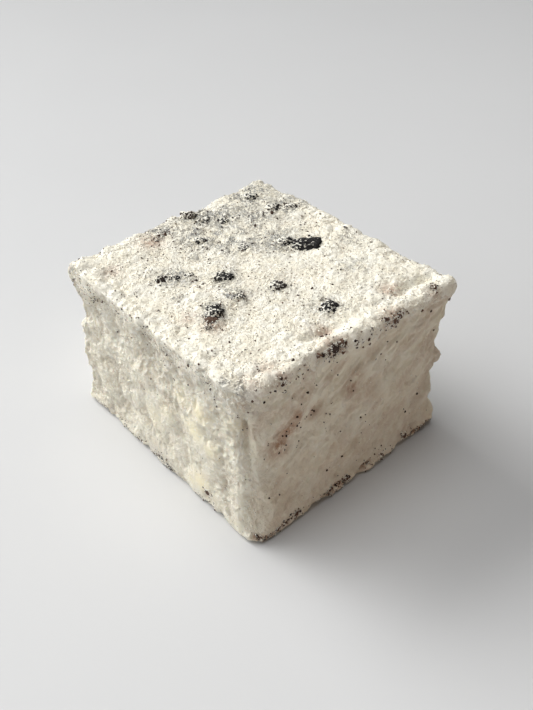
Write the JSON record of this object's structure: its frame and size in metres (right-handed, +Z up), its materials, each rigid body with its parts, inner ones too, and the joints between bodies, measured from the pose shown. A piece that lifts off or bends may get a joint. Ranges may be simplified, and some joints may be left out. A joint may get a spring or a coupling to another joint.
{
  "type": "marshmallow",
  "caption": "Hand-cut square marshmallow with drawn-in sides, a rolled lip along one top edge and a flat base; cookie crumbs and powder dusting are its looks.",
  "frame": {"origin": "middle of the bottom of the bounding box, on the flat base", "axes": "+X along the longest side, towards the side whose top edge has the rolled lip; +Z up"},
  "size_m": [0.048, 0.0424, 0.0303],
  "materials": {
    "marshmallow_foam": "matt cream-white sugar foam, cut and torn at the sides",
    "sugar_dusting": "dry white powder, fully matt",
    "cookie_crumb": "dry black-brown biscuit crumb, matt and grainy"
  },
  "bodies": {
    "root": {"marshmallow": "marshmallow_foam"}
  },
  "joints": []
}
